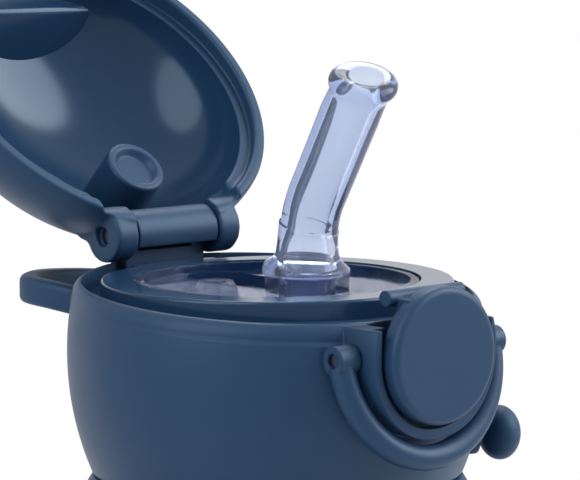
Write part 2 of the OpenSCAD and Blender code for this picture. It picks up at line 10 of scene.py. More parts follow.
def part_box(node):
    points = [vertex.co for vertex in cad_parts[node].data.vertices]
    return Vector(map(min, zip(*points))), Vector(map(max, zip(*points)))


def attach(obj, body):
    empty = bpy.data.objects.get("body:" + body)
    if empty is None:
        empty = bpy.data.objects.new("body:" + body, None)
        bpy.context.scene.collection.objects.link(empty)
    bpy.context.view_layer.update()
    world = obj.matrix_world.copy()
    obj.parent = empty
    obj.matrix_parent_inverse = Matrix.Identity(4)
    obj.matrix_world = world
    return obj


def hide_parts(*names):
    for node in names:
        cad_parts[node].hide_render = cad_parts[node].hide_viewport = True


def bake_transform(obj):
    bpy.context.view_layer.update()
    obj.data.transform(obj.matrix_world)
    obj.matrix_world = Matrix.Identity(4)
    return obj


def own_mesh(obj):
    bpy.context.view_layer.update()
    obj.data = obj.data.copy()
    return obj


bl_info = {
    "name": "Folding Water Bottle",
    "version": (1, 0, 0),
    "blender": (4, 5, 0),
    "location": "View3D > Sidebar > Bottle",
    "description": "Models and finishes a folding water bottle with a flip lid",
    "category": "Add Mesh",
}

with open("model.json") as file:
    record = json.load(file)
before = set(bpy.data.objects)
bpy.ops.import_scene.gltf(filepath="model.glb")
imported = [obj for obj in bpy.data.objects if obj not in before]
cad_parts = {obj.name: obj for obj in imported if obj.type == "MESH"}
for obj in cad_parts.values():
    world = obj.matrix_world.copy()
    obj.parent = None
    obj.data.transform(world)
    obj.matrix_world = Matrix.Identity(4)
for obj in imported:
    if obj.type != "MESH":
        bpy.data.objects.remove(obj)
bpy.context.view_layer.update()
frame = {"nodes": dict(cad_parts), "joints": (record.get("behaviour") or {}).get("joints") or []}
JOINTS = {j["name"]: j for j in frame["joints"]}
HINGE = Vector(JOINTS["lid_hinge"]["pos_m"])
OPEN_ANGLE = math.radians(JOINTS["lid_hinge"]["range_deg"][1])
MM = 0.001
HINGE_RISE = 5.5 * MM
TOP = HINGE.z - HINGE_RISE
RIM_TILT = math.radians(2)
BODY_WALL = 2.6 * MM

# Finishes: light that one surface lets through, colour of the glints, strength of the glints on moulded pieces
SURFACE_LOSS = (0.88, 0.91, 0.955, 1)
CLEAR_GLINT, NAVY_GLINT = (0.7, 0.8, 1, 1), (0.6, 0.8, 1, 1)
MOULDED_SHINE = 0.3

# Lid round the hinge: half width, start towards the back and rise over the disc, in metres
ROOT_HALF, ROOT_START, ROOT_RISE = 0.021, 0.018, 0.014
ROOT_BLEND = 0.003

# Bite straw: distance in front of the axis, height over the disc and radius, in millimetres
STRAW_LINE = (
    (7.8, 1.6, 7.8), (7.82, 2.1, 7.8), (7.85, 2.6, 7.7), (7.88, 3.0, 7.4), (7.95, 3.5, 6.8), (8.0, 4.1, 6.1),
    (8.05, 5.0, 5.6), (8.1, 6.4, 5.4), (8.35, 9.2, 5.28), (8.42, 9.6, 5.32), (8.5, 9.8, 5.38), (8.55, 10.0, 5.32),
    (8.62, 10.2, 5.12), (9.25, 12.6, 5.12), (9.95, 14.3, 5.13), (10.8, 15.9, 5.13), (11.75, 17.5, 5.14),
    (12.75, 19.2, 5.15), (14.7, 22.6, 5.18), (16.9, 26.4, 5.21), (19.1, 30.2, 5.25), (20.25, 32.1, 5.27),
    (21.2, 33.6, 5.3), (21.5, 34.1, 5.36), (21.7, 34.4, 5.5), (21.9, 34.75, 5.75), (22.1, 35.1, 6.0),
    (22.35, 35.5, 6.18), (22.6, 35.9, 6.2), (22.85, 36.3, 6.05), (23.05, 36.65, 5.7), (23.2, 36.9, 5.2),
    (23.28, 37.05, 4.5))
# Where the tip starts to turn and over what length, the lean it loses and its rise to one side
TIP_START, TIP_LENGTH = (19.1, 30.2), 5
LIP_UPRIGHT, LIP_SIDEWAYS = math.radians(5), 0.16

# Carry strap: middle of its route from the disc's centre, in millimetres, and the stud at its end
STRAP_ROUTE = ((-17.4, 32.8, -6.6), (-20.5, 38.5, -5.4), (-20, 47, -5), (-10, 54, -5.4), (8, 56, -7.4),
               (26, 50, -11), (39, 36, -16), (44.5, 18, -22), (41.5, 1, -27), (35.7, -11.2, -29.9))
STUD_ANGLE, STUD_DROP = math.radians(65 - 90), 30 * MM


class BottleSizes(bpy.types.PropertyGroup):
    """Sizes that shape the modelled pieces."""

    lid_radius: bpy.props.FloatProperty(
        name="Lid radius", description="Outer radius of the lid's rim", default=34.3 * MM, unit="LENGTH")
    lid_wall: bpy.props.FloatProperty(
        name="Lid wall", description="Thickness of the lid", default=2.3 * MM, unit="LENGTH")
    band_width: bpy.props.FloatProperty(
        name="Band width", description="Width of the matte band inside the lid's rim", default=4.5 * MM, unit="LENGTH")
    rim_drop: bpy.props.FloatProperty(
        name="Rim drop", description="Depth of the lid's rim under the disc", default=1.7 * MM, unit="LENGTH")
    ear_radius: bpy.props.FloatProperty(
        name="Ear radius", description="Radius of the lid's hinge ears", default=4.8 * MM, unit="LENGTH")
    lid_rise: bpy.props.FloatProperty(
        name="Lid rise", description="Height of the closed lid over the disc", default=22 * MM, unit="LENGTH")
    web_thickness: bpy.props.FloatProperty(
        name="Web thickness", description="Thickness of the folding webs", default=1.5 * MM, unit="LENGTH")
    grip_depth: bpy.props.FloatProperty(
        name="Grip depth", description="Depth of the grooves round the soft body", default=0.5 * MM, unit="LENGTH")


class BottleColours(bpy.types.PropertyGroup):
    """Colours of the finishes."""

    shell: bpy.props.FloatVectorProperty(
        name="Shell", description="Moulded navy plastic", subtype="COLOR", size=3, default=(0.0105, 0.033, 0.074))
    silicone: bpy.props.FloatVectorProperty(
        name="Silicone", description="Soft navy body", subtype="COLOR", size=3, default=(0.0105, 0.033, 0.074))
    clear: bpy.props.FloatVectorProperty(
        name="Clear plastic", description="Tint of the spout disc", subtype="COLOR", size=3,
        default=(0.30, 0.36, 0.62))
    straw: bpy.props.FloatVectorProperty(
        name="Clear silicone", description="Tint of the bite straw", subtype="COLOR", size=3,
        default=(0.17, 0.35, 0.72))
    steel: bpy.props.FloatVectorProperty(
        name="Steel", description="Pins and springs", subtype="COLOR", size=3, default=(0.05, 0.065, 0.10))


# Selection and finishing helpers


def deselect():
    if bpy.context.object and bpy.context.object.mode != "OBJECT":
        bpy.ops.object.mode_set(mode="OBJECT")
    bpy.ops.object.select_all(action="DESELECT")


def activate(obj):
    deselect()
    obj.select_set(True)
    bpy.context.view_layer.objects.active = obj


def settle(obj):
    """Applies the object's place to its mesh."""
    activate(obj)
    bpy.ops.object.transform_apply(location=True, rotation=True, scale=True)


def close_mesh(obj, smooth=30):
    """Merges doubles, turns faces outwards and shades the mesh smooth."""
    activate(obj)
    bpy.ops.object.mode_set(mode="EDIT")
    bpy.ops.mesh.select_all(action="SELECT")
    bpy.ops.mesh.remove_doubles(threshold=1e-6)
    bpy.ops.mesh.normals_make_consistent(inside=False)
    bpy.ops.object.mode_set(mode="OBJECT")
    bpy.ops.object.shade_smooth_by_angle(angle=math.radians(smooth))


def pick(obj, wanted):
    """Opens a mesh for editing with the wanted vertices selected."""
    activate(obj)
    for item in (*obj.data.polygons, *obj.data.edges):
        item.select = False
    for v in obj.data.vertices:
        v.select = wanted(v.co)
    bpy.ops.object.mode_set(mode="EDIT")


def apply_modifiers(obj):
    activate(obj)
    for mod in list(obj.modifiers):
        bpy.ops.object.modifier_apply(modifier=mod.name)


def cut_with(obj, cutter, operation="DIFFERENCE"):
    """Boolean of two modelled pieces, with the second one used up."""
    mod = obj.modifiers.new("cut", "BOOLEAN")
    mod.operation = operation
    mod.solver = "MANIFOLD"
    mod.object = cutter
    apply_modifiers(obj)
    bpy.data.objects.remove(cutter)


def bevelled(obj, width, segments=3):
    mod = obj.modifiers.new("edge", "BEVEL")
    mod.width = width
    mod.segments = segments
    mod.limit_method = "ANGLE"
    mod.angle_limit = math.radians(30)
    apply_modifiers(obj)


def block(name, low, high):
    """A box between two corners, in metres."""
    deselect()
    low, high = Vector(low), Vector(high)
    bpy.ops.mesh.primitive_cube_add(size=1, location=(low + high) / 2)
    obj = bpy.context.object
    obj.name = name
    obj.scale = high - low
    settle(obj)
    return obj


def x_rod(name, radius, length, centre, sides=64):
    """A round rod along X."""
    deselect()
    bpy.ops.mesh.primitive_cylinder_add(
        vertices=sides, radius=radius, depth=length, location=centre, rotation=(0, math.pi / 2, 0))
    obj = bpy.context.object
    obj.name = name
    settle(obj)
    return obj


def fillet(points, radius, steps=5):
    """The outline with its inner corners rounded. A third number on a point sets its own radius."""
    out = [tuple(points[0][:2])]
    for a, b, c in zip(points, points[1:], points[2:]):
        r = b[2] if len(b) > 2 else radius
        p, q, s = Vector(a[:2]), Vector(b[:2]), Vector(c[:2])
        u, v = (p - q).normalized(), (s - q).normalized()
        half = math.acos(max(-1, min(1, u.dot(v)))) / 2
        reach = min(r / math.tan(half), (p - q).length * 0.49, (s - q).length * 0.49) if half < 1.55 else 0
        if reach < 1e-6:
            out.append(tuple(q))
            continue
        start, end = q + u * reach, q + v * reach
        for k in range(steps + 1):
            t = k / steps
            w = start * (1 - t) ** 2 + q * 2 * t * (1 - t) + end * t * t
            out.append(tuple(w))
    out.append(tuple(points[-1][:2]))
    return out


def turned(name, outline, sides=128, centre=(0, 0), smooth=30):
    """A round piece, drawn out ring by ring from a circle along its outline of radius and height."""
    deselect()
    cx, cy = centre
    tiny = 1e-6
    rings = [(max(r, tiny), z) for r, z in outline]
    bpy.ops.mesh.primitive_circle_add(vertices=sides, radius=rings[0][0], location=(cx, cy, rings[0][1]))
    obj = bpy.context.object
    obj.name = name
    settle(obj)
    bpy.ops.object.mode_set(mode="EDIT")
    bpy.ops.mesh.select_all(action="SELECT")
    for (r1, z1), (r2, z2) in zip(rings, rings[1:]):
        bpy.ops.mesh.extrude_region_move(TRANSFORM_OT_translate={"value": (0, 0, z2 - z1)})
        bpy.ops.transform.resize(value=(r2 / r1, r2 / r1, 1), center_override=(cx, cy, z2))
    bpy.ops.mesh.select_all(action="SELECT")
    bpy.ops.mesh.remove_doubles(threshold=5e-6)
    bpy.ops.object.mode_set(mode="OBJECT")
    close_mesh(obj, smooth)
    return obj


def drawn(name, stations, sides=48):
    """A bent round piece, drawn out ring by ring along stations of place, lean about X and radius."""
    deselect()
    centre, lean, radius = stations[0]
    bpy.ops.mesh.primitive_circle_add(vertices=sides, radius=radius, location=centre, rotation=(lean, 0, 0))
    obj = bpy.context.object
    obj.name = name
    settle(obj)
    bpy.ops.object.mode_set(mode="EDIT")
    bpy.ops.mesh.select_all(action="SELECT")
    for (c1, l1, r1), (c2, l2, r2) in zip(stations, stations[1:]):
        bpy.ops.mesh.extrude_region_move(TRANSFORM_OT_translate={"value": Vector(c2) - Vector(c1)})
        if abs(l2 - l1) > 1e-6:
            bpy.ops.transform.rotate(value=l1 - l2, orient_axis="X", center_override=c2)
        bpy.ops.transform.resize(value=(r2 / r1,) * 3, center_override=c2)
    bpy.ops.object.mode_set(mode="OBJECT")
    close_mesh(obj, 40)
    return obj


def place(obj, body, slot, material, *nodes):
    """Puts the finish on a piece, ties it to its body and hides the nodes that it stands for."""
    obj.data.materials.clear()
    obj.data.materials.append(material)
    if body:
        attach(obj, body)
    if nodes:
        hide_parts(*nodes)


def dress(node, material):
    """Puts a finish on a piece of the frame."""
    obj = frame["nodes"][node]
    obj.data.materials.clear()
    obj.data.materials.append(material)


# Finishes


def node_of(tree, kind, **values):
    node = tree.nodes.new(kind)
    for key, value in values.items():
        setattr(node, key, value)
    return node


def moulded_grain():
    """Shared group: fine grain, slow colour drift and small roughness changes of a moulded surface."""
    name = "moulded_grain"
    if name in bpy.data.node_groups:
        return bpy.data.node_groups[name]
    group = bpy.data.node_groups.new(name, "ShaderNodeTree")
    for label, default in (("Grain size", 2500.0), ("Drift size", 22.0)):
        socket = group.interface.new_socket(label, in_out="INPUT", socket_type="NodeSocketFloat")
        socket.default_value = default
    for label in ("Height", "Drift", "Smudge"):
        group.interface.new_socket(label, in_out="OUTPUT", socket_type="NodeSocketFloat")
    source = node_of(group, "NodeGroupInput")
    sink = node_of(group, "NodeGroupOutput")
    coords = node_of(group, "ShaderNodeTexCoord")
    grain = node_of(group, "ShaderNodeTexNoise")
    grain.inputs["Detail"].default_value = 3
    drift = node_of(group, "ShaderNodeTexNoise")
    drift.inputs["Detail"].default_value = 2
    smudge = node_of(group, "ShaderNodeTexNoise")
    smudge.inputs["Scale"].default_value = 90
    smudge.inputs["Detail"].default_value = 4
    link = group.links.new
    for tex in (grain, drift, smudge):
        link(coords.outputs["Object"], tex.inputs["Vector"])
    link(source.outputs["Grain size"], grain.inputs["Scale"])
    link(source.outputs["Drift size"], drift.inputs["Scale"])
    link(grain.outputs["Fac"], sink.inputs["Height"])
    link(drift.outputs["Fac"], sink.inputs["Drift"])
    link(smudge.outputs["Fac"], sink.inputs["Smudge"])
    return group


def plain_material(name):
    mat = bpy.data.materials.new(name)
    mat.use_nodes = True
    return mat, mat.node_tree, mat.node_tree.nodes["Principled BSDF"]


def moulded(name, colour, rough, grain_depth, grain_size=2500.0, spread=0.05, round_edge=0.0):
    """Moulded plastic or silicone with grain, slow drift of tone and softened edges."""
    mat, tree, bsdf = plain_material(name)
    link = tree.links.new
    grain = node_of(tree, "ShaderNodeGroup", node_tree=moulded_grain())
    grain.inputs["Grain size"].default_value = grain_size
    tone = node_of(tree, "ShaderNodeMix", data_type="RGBA")
    tone.inputs["A"].default_value = [c * 0.93 for c in colour] + [1]
    tone.inputs["B"].default_value = [min(1, c * 1.07) for c in colour] + [1]
    link(grain.outputs["Drift"], tone.inputs["Factor"])
    link(tone.outputs["Result"], bsdf.inputs["Base Color"])
    gloss = node_of(tree, "ShaderNodeMapRange")
    gloss.inputs["To Min"].default_value = max(0.02, rough - spread)
    gloss.inputs["To Max"].default_value = rough + spread
    link(grain.outputs["Smudge"], gloss.inputs["Value"])
    link(gloss.outputs["Result"], bsdf.inputs["Roughness"])
    bump = node_of(tree, "ShaderNodeBump")
    bump.inputs["Strength"].default_value = grain_depth
    bump.inputs["Distance"].default_value = 0.0002
    link(grain.outputs["Height"], bump.inputs["Height"])
    if round_edge:
        edge = node_of(tree, "ShaderNodeBevel", samples=6)
        edge.inputs["Radius"].default_value = round_edge
        link(edge.outputs["Normal"], bump.inputs["Normal"])
    link(bump.outputs["Normal"], bsdf.inputs["Normal"])
    bsdf.inputs["Specular IOR Level"].default_value = MOULDED_SHINE
    bsdf.inputs["Specular Tint"].default_value = NAVY_GLINT
    return mat


def see_through(name, tint, rough, ior, cover=1.0, depth=0.0, milk=0.0):
    """Clear plastic or silicone, tinted at its surface or, with a depth, through its thickness."""
    mat, tree, bsdf = plain_material(name)
    bsdf.inputs["Base Color"].default_value = SURFACE_LOSS if depth else list(tint) + [1]
    bsdf.inputs["Roughness"].default_value = rough
    bsdf.inputs["IOR"].default_value = ior
    bsdf.inputs["Transmission Weight"].default_value = 1 - milk
    bsdf.inputs["Specular Tint"].default_value = CLEAR_GLINT
    bsdf.inputs["Alpha"].default_value = cover
    if depth:
        inner = node_of(tree, "ShaderNodeVolumeAbsorption")
        inner.inputs["Color"].default_value = list(tint) + [1]
        inner.inputs["Density"].default_value = depth
        tree.links.new(inner.outputs["Volume"], tree.nodes["Material Output"].inputs["Volume"])
    return mat


def drawn_steel(name, colour):
    """Steel wire and pins with fine drawing lines."""
    mat, tree, bsdf = plain_material(name)
    coords = node_of(tree, "ShaderNodeTexCoord")
    stretch = node_of(tree, "ShaderNodeMapping")
    stretch.inputs["Scale"].default_value = (200, 6000, 6000)
    lines = node_of(tree, "ShaderNodeTexNoise")
    lines.inputs["Scale"].default_value = 1
    gloss = node_of(tree, "ShaderNodeMapRange")
    gloss.inputs["To Min"].default_value = 0.22
    gloss.inputs["To Max"].default_value = 0.4
    tree.links.new(coords.outputs["Object"], stretch.inputs["Vector"])
    tree.links.new(stretch.outputs["Vector"], lines.inputs["Vector"])
    tree.links.new(lines.outputs["Fac"], gloss.inputs["Value"])
    tree.links.new(gloss.outputs["Result"], bsdf.inputs["Roughness"])
    bsdf.inputs["Base Color"].default_value = list(colour) + [1]
    bsdf.inputs["Metallic"].default_value = 1
    return mat


FINISHES = {}


def finish(name):
    """The named finish, made on first use."""
    if name not in FINISHES:
        paint = bpy.context.scene.bottle_colours
        makers = {
            "satin_navy": lambda: moulded("satin_navy", paint.shell, 0.45, 0.04, round_edge=0.0006),
            "gloss_navy": lambda: moulded("gloss_navy", paint.shell, 0.18, 0.0, spread=0.03),
            "soft_navy": lambda: moulded("soft_navy", paint.silicone, 0.55, 0.1, grain_size=1800, spread=0.07),
            "neck_white": lambda: moulded("neck_white", (0.72, 0.74, 0.77), 0.4, 0.03),
            "seal_rubber": lambda: moulded("seal_rubber", (0.62, 0.65, 0.70), 0.5, 0.05),
            "clear_disc": lambda: see_through("clear_disc", paint.clear, 0.06, 1.4, cover=0.45),
            "clear_silicone": lambda: see_through("clear_silicone", paint.straw, 0.09, 1.26, depth=125, milk=0.05),
            "drawn_steel": lambda: drawn_steel("drawn_steel", paint.steel),
        }
        FINISHES[name] = makers[name]()
    return FINISHES[name]


# Pieces


class BOTTLE_OT_body(bpy.types.Operator):
    """Models the soft folding body: cup, bands, shell and the webs between them"""

    bl_idname = "bottle.body"
    bl_label = "Folding body"

    def execute(self, context):
        soft = finish("soft_navy")
        sizes = context.scene.bottle_sizes
        for node, body in (("base_cup", "base"), ("middle_band", "middle")):
            low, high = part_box(node)
            bead, groove_half = 0.5 * MM, 0.9 * MM
            r = high.x - bead
            inside = r - BODY_WALL
            top, bottom = high.z, low.z
            outline = [(inside, top), (r + bead, top, 0.4 * MM), (r + bead, top - 3 * MM, 0.3 * MM),
                       (r, top - 3.6 * MM)]
            for k in range(3):
                z = top - 9 * MM - k * 5 * MM
                outline += [(r, z + groove_half), (r - sizes.grip_depth, z, 0.8 * MM), (r, z - groove_half)]
            if node == "base_cup":
                outline += [(r, bottom, 5 * MM), (r - 8 * MM, bottom), (r - 9 * MM, bottom + 0.7 * MM),
                            (0, bottom + 0.7 * MM)]
                inner = [(0, bottom + 4 * MM), (inside, bottom + 4 * MM, 3 * MM), (inside, top)]
                outline = fillet(outline, 0.3 * MM) + fillet(inner, 1 * MM)
            else:
                outline += [(r, bottom, 0.5 * MM), (inside, bottom, 0.5 * MM), (inside, top)]
                outline = fillet(outline, 0.3 * MM)
            place(turned(node + "_soft", outline), body, "silicone_navy", soft, node)
        self.shell(soft)
        for name, low, high in (("lower_web", "base", "middle"), ("upper_web", "middle", "upper")):
            self.web(name, low, high, sizes.web_thickness, soft)
        return {"FINISHED"}

    def shell(self, soft):
        low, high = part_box("upper_shell")
        r, neck = high.x, 30.5 * MM
        inside = r - BODY_WALL
        shoulder = high.z - 11 * MM
        outline = [(inside, low.z), (r, low.z, 0.6 * MM), (r, shoulder, 3 * MM), (33 * MM, high.z, 0.5 * MM),
                   (neck, high.z), (neck, shoulder + 2.7 * MM), (33.3 * MM, shoulder + 2.7 * MM),
                   (inside, shoulder - 2 * MM), (inside, low.z)]
        place(turned("upper_shell_soft", fillet(outline, 0.3 * MM)), "upper", "silicone_navy", soft, "upper_shell")

    def web(self, node, below, above, thickness, soft):
        low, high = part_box(node)
        r_high = high.x
        rise = high.z - low.z
        r_low = r_high - 3.8 * MM
        steps = 12
        outer = [(r_low + (r_high - r_low) * (0.5 - 0.5 * math.cos(math.pi * k / steps)), low.z + rise * k / steps)
                 for k in range(steps + 1)]
        inner = [(r - thickness, z) for r, z in reversed(outer)]
        obj = turned(node + "_soft", outer + inner + outer[:1])
        place(obj, None, "silicone_navy", soft, node)
        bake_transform(obj)


class BOTTLE_OT_neck(bpy.types.Operator):
    """Finishes the neck ring, its gasket and the disc's seal"""

    bl_idname = "bottle.neck"
    bl_label = "Neck"

    def execute(self, context):
        dress("neck_ring", finish("neck_white"))
        dress("neck_gasket", finish("seal_rubber"))
        dress("disc_seal", finish("seal_rubber"))
        return {"FINISHED"}


class BOTTLE_OT_collar(bpy.types.Operator):
    """Finishes the screw collar with its hinge knuckle and button bay"""

    bl_idname = "bottle.collar"
    bl_label = "Collar"

    def execute(self, context):
        dress("collar", finish("satin_navy"))
        return {"FINISHED"}


class BOTTLE_OT_spout(bpy.types.Operator):
    """Finishes the disc and its ring, and models the bent bite straw and the tube under it"""

    bl_idname = "bottle.spout"
    bl_label = "Disc and straw"

    def execute(self, context):
        dress("disc_ring", finish("gloss_navy"))
        dress("spout_disc", finish("clear_disc"))
        dress("vent_valve", finish("clear_silicone"))
        self.mouthpiece()
        self.tube()
        return {"FINISHED"}

    def mouthpiece(self):
        """The bent bite straw: outside up to the lip, bore down again, and the plug in the disc's socket."""
        spout_y = -8 * MM
        pts = [Vector((0, -y * MM, TOP + z * MM)) for y, z, _ in STRAW_LINE]
        outside = []
        for k, (_, z, r) in enumerate(STRAW_LINE):
            d = pts[min(k + 1, len(pts) - 1)] - pts[max(k - 1, 0)]
            upright = min(max((z - TIP_START[1]) / TIP_LENGTH, 0), 1) * LIP_UPRIGHT
            outside.append((pts[k], math.atan2(-d.y, d.z) - upright, r * MM))
        bore, wall, widest, foot = 3.1 * MM, 1.5 * MM, 4.4 * MM, TOP + 9 * MM
        inside = [(p, a, max(bore, min(r - wall, widest)) if p.z < foot else bore) for p, a, r in reversed(outside)]
        inside[0] = (inside[0][0], inside[0][1], bore + 0.3 * MM)
        plug_r, plug_z = 4.9 * MM, TOP - 3.7 * MM
        below = [(Vector((0, spout_y, TOP)), 0, bore), (Vector((0, spout_y, plug_z)), 0, bore),
                 (Vector((0, spout_y, plug_z)), 0, plug_r), (Vector((0, spout_y, TOP + 1.0 * MM)), 0, plug_r)]
        stations = outside + inside + below + outside[:1]
        obj = drawn("mouthpiece_soft", stations, 64)
        self.turn_lip(obj)
        place(obj, "cap", "clear_silicone", finish("clear_silicone"), "mouthpiece")
        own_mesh(obj)

    def turn_lip(self, obj):
        """Turns the lip a little to one side, as the photograph shows it."""
        start = Vector((0, -TIP_START[0] * MM, TOP + TIP_START[1] * MM))
        along = Vector((0, -0.515, 0.857))
        for v in obj.data.vertices:
            reach = (v.co - start).dot(along) / (TIP_LENGTH * MM)
            v.co.z += LIP_SIDEWAYS * v.co.x * min(max(reach, 0), 1)

    def tube(self):
        low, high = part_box("straw_tube")
        centre = ((low.x + high.x) / 2, (low.y + high.y) / 2)
        r = (high.x - low.x) / 2
        wall = 1 * MM
        outline = [(r - wall, high.z), (r, high.z, 0.3 * MM), (r, low.z, 0.3 * MM), (r - wall, low.z, 0.3 * MM),
                   (r - wall, high.z)]
        obj = turned("straw_tube_soft", fillet(outline, 0.2 * MM), sides=48, centre=centre)
        place(obj, "cap", "clear_silicone", finish("clear_silicone"), "straw_tube")
        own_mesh(obj)


def opened(obj):
    """Turns a piece that is modelled closed to the open rest position."""
    turn = Matrix.Translation(HINGE) @ Matrix.Rotation(-OPEN_ANGLE, 4, "X") @ Matrix.Translation(-HINGE)
    obj.matrix_world = turn @ obj.matrix_world
    settle(obj)
    return obj


class BOTTLE_OT_lid(bpy.types.Operator):
    """Models the flip lid: dome, rim, ears, boss and front wall"""

    bl_idname = "bottle.lid"
    bl_label = "Flip lid"

    def execute(self, context):
        sizes = context.scene.bottle_sizes
        self.dome(sizes)
        self.boss(sizes)
        self.front_wall(sizes)
        return {"FINISHED"}

    def arc(self, r, rise, steps=40):
        """Half an ellipse from the rim up to the middle of the dome."""
        start = 1 * MM
        turns = [math.pi / 2 * k / steps for k in range(steps + 1)]
        return [(r * max(0, math.cos(t)), TOP + start + (rise - start) * math.sin(t)) for t in turns]

    def dome(self, sizes):
        r, wall, rise = sizes.lid_radius, sizes.lid_wall, sizes.lid_rise
        throat, step = r - sizes.band_width, TOP + 0.8 * MM
        rim = TOP - sizes.rim_drop
        edge = fillet([(throat, TOP + 1 * MM), (throat, step, 0.5 * MM), (r - wall, step, 0.3 * MM),
                       (r - wall, rim, 0.7 * MM), (r, rim, 0.8 * MM), (r, TOP + 1 * MM)], 0.5 * MM)
        outline = list(reversed(self.arc(throat, rise - wall))) + edge[1:-1] + self.arc(r, rise)
        obj = turned("flip_lid_shell", outline, sides=192)
        self.tilt_rim(obj, rim)
        root = self.hinge_root(obj, sizes)
        cut_with(obj, self.root_box("root_room"))
        for name, low, high in (("tongue", (-7.5, -37.4, -2.6), (7.5, -32.6, -0.9)),
                                ("ledge", (-7.5, -35.9, 4.4), (7.5, -33.3, 6.4))):
            bar = block(name, Vector(low) * MM + Vector((0, 0, TOP)), Vector(high) * MM + Vector((0, 0, TOP)))
            bevelled(bar, 0.4 * MM)
            cut_with(obj, bar, "UNION")
        cut_with(obj, root, "UNION")
        close_mesh(obj, 25)
        glossy = [f.index for f in obj.data.polygons if self.inside(f, throat)]
        opened(obj)
        place(obj, "lid", "lid_navy", finish("satin_navy"), "flip_lid")
        obj.data.materials.append(finish("gloss_navy"))
        for k in glossy:
            obj.data.polygons[k].material_index = 1

    def root_box(self, name, more=0.0):
        """The part of the closed lid that flows into the ears."""
        return block(name, (-ROOT_HALF - more, ROOT_START - more, TOP - 0.008),
                     (ROOT_HALF + more, 0.045, TOP + ROOT_RISE + more))

    def hinge_root(self, obj, sizes):
        """The wall of the lid round the hinge, with the ears, flowing into each other as one moulding."""
        root = obj.copy()
        root.data = obj.data.copy()
        root.name = "hinge_root"
        bpy.context.collection.objects.link(root)
        cut_with(root, self.root_box("room", ROOT_BLEND), "INTERSECT")
        relief = block("relief", (-16 * MM, 18 * MM, TOP - 10 * MM), (16 * MM, 40 * MM, HINGE.z))
        bevelled(relief, 4 * MM, 6)
        cut_with(relief, x_rod("hub", 5.3 * MM, 0.04, HINGE, 96))
        cut_with(root, relief)
        for side in (-1, 1):
            rods, thin = 9, 1.5 * MM
            for k in range(rods):
                t = k / (rods - 1)
                r = thin + (sizes.ear_radius - thin) * (1 - t) ** 2
                at = (side * 12 * MM, HINGE.y - 4.85 * MM * t, HINGE.z + 4.16 * MM * t)
                cut_with(root, x_rod("ear", r, (4.8 + 0.3 * t) * MM, at, 96), "UNION")
        root.data.remesh_voxel_size = 0.32 * MM
        activate(root)
        bpy.ops.object.voxel_remesh()
        soft = root.vertex_groups.new(name="soft")
        for v in root.data.vertices:
            depth = min(ROOT_HALF - abs(v.co.x), v.co.y - ROOT_START, TOP + ROOT_RISE - v.co.z)
            soft.add([v.index], max(0, min(1, depth / ROOT_BLEND)), "REPLACE")
        mod = root.modifiers.new("flow", "SMOOTH")
        mod.factor, mod.iterations, mod.vertex_group = 0.5, 22, "soft"
        apply_modifiers(root)
        self.notch(root)
        cut_with(root, x_rod("pin_hole", 1.55 * MM, 0.08, HINGE))
        for side in (-1, 1):
            mouth = x_rod("pin_mouth", 1.9 * MM, 3 * MM, (side * 15 * MM, HINGE.y, HINGE.z))
            cut_with(root, mouth)
        cut_with(root, self.root_box("root_end"), "INTERSECT")
        return root

    def inside(self, face, throat):
        """Tells whether a face belongs to the polished inside of the closed lid."""
        out = Vector((face.center.x, face.center.y, face.center.z - TOP))
        return face.center.z > TOP + 1.2 * MM and out.xy.length < throat + 0.05 * MM and face.normal.dot(out) < 0

    def tilt_rim(self, obj, rim):
        """Leans the rim so that it runs parallel to the collar's sloping edge."""
        pick(obj, lambda co: co.z < TOP + 0.2 * MM)
        bpy.ops.transform.rotate(value=-RIM_TILT, orient_axis="X", center_override=(0, 0, rim))
        bpy.ops.object.mode_set(mode="OBJECT")

    def notch(self, obj):
        """Opens the wall round the collar's knuckle, over the whole swing of the lid."""
        gap, half = 4.7 * MM, 9.7 * MM
        y, z = HINGE.y, HINGE.z
        lean = math.pi - OPEN_ANGLE
        cut_with(obj, block("under", (-half, y - gap, z - 0.03), (half, y + 0.05, z)))
        beam = block("beam", (-half, -gap, -0.0001), (half, 0.05, 0.04))
        beam.matrix_world = Matrix.Translation(HINGE) @ Matrix.Rotation(-lean, 4, "X")
        settle(beam)
        cut_with(obj, beam)
        cut_with(obj, x_rod("knuckle_gap", gap, 2 * half, HINGE, 96))

    def cave(self, sizes):
        """The room under the dome, reaching into its wall."""
        gap = 1 * MM
        r = sizes.lid_radius - gap
        return turned("cave", [(0, TOP), (r, TOP)] + self.arc(r, sizes.lid_rise - gap), sides=96)

    def boss(self, sizes):
        r = 5.8 * MM
        low, high = TOP + 3 * MM, TOP + sizes.lid_rise - 1.6 * MM
        outline = [(0, low + 1.2 * MM), (3.4 * MM, low + 1.2 * MM, 0.5 * MM), (4.4 * MM, low, 0.6 * MM),
                   (r, low, 0.8 * MM), (r + 0.3 * MM, high), (0, high)]
        obj = turned("lid_boss", fillet(outline, 0.3 * MM), sides=96, centre=(0, 18 * MM))
        cut_with(obj, self.cave(sizes), "INTERSECT")
        close_mesh(obj, 25)
        opened(obj)
        place(obj, "lid", "lid_navy", finish("satin_navy"))

    def front_wall(self, sizes):
        """The flat sloping wall inside the front of the lid."""
        obj = block("lid_front_wall", (-20 * MM, -40 * MM, TOP + 6 * MM), (20 * MM, -24.8 * MM, TOP + 24 * MM))
        pick(obj, lambda co: co.y > -30 * MM and co.z > TOP + 20 * MM)
        bpy.ops.transform.translate(value=(0, 9.6 * MM, 0))
        bpy.ops.object.mode_set(mode="OBJECT")
        bevelled(obj, 0.9 * MM, 5)
        cut_with(obj, self.cave(sizes), "INTERSECT")
        close_mesh(obj, 25)
        opened(obj)
        place(obj, "lid", "lid_navy", finish("gloss_navy"))


